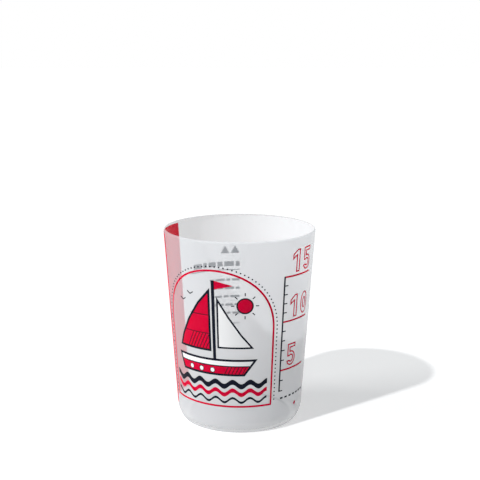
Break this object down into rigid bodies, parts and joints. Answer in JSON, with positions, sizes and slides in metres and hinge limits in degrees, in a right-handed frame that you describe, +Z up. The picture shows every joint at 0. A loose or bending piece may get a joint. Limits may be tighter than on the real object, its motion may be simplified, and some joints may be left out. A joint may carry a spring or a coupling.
{
  "type": "reusable cup",
  "caption": "Tapered tumbler of frosted translucent plastic with a rounded rim, a printed sailing boat in an arch, a filling scale and a plain stripe.",
  "frame": {"origin": "centre of the foot, on the surface that the cup stands on", "axes": "+Z up along the cup's axis; -Y through the front, where the printed picture is"},
  "size_m": [0.064, 0.064, 0.082],
  "materials": {
    "cup": "frosted, translucent",
    "red_ink": "printed",
    "navy_ink": "printed",
    "white_ink": "printed"
  },
  "bodies": {
    "root": {"cup": "cup", "red_stripe": "red_ink", "red_print": "red_ink", "navy_print": "navy_ink", "white_print": "white_ink", "back_print": "navy_ink"}
  },
  "joints": []
}
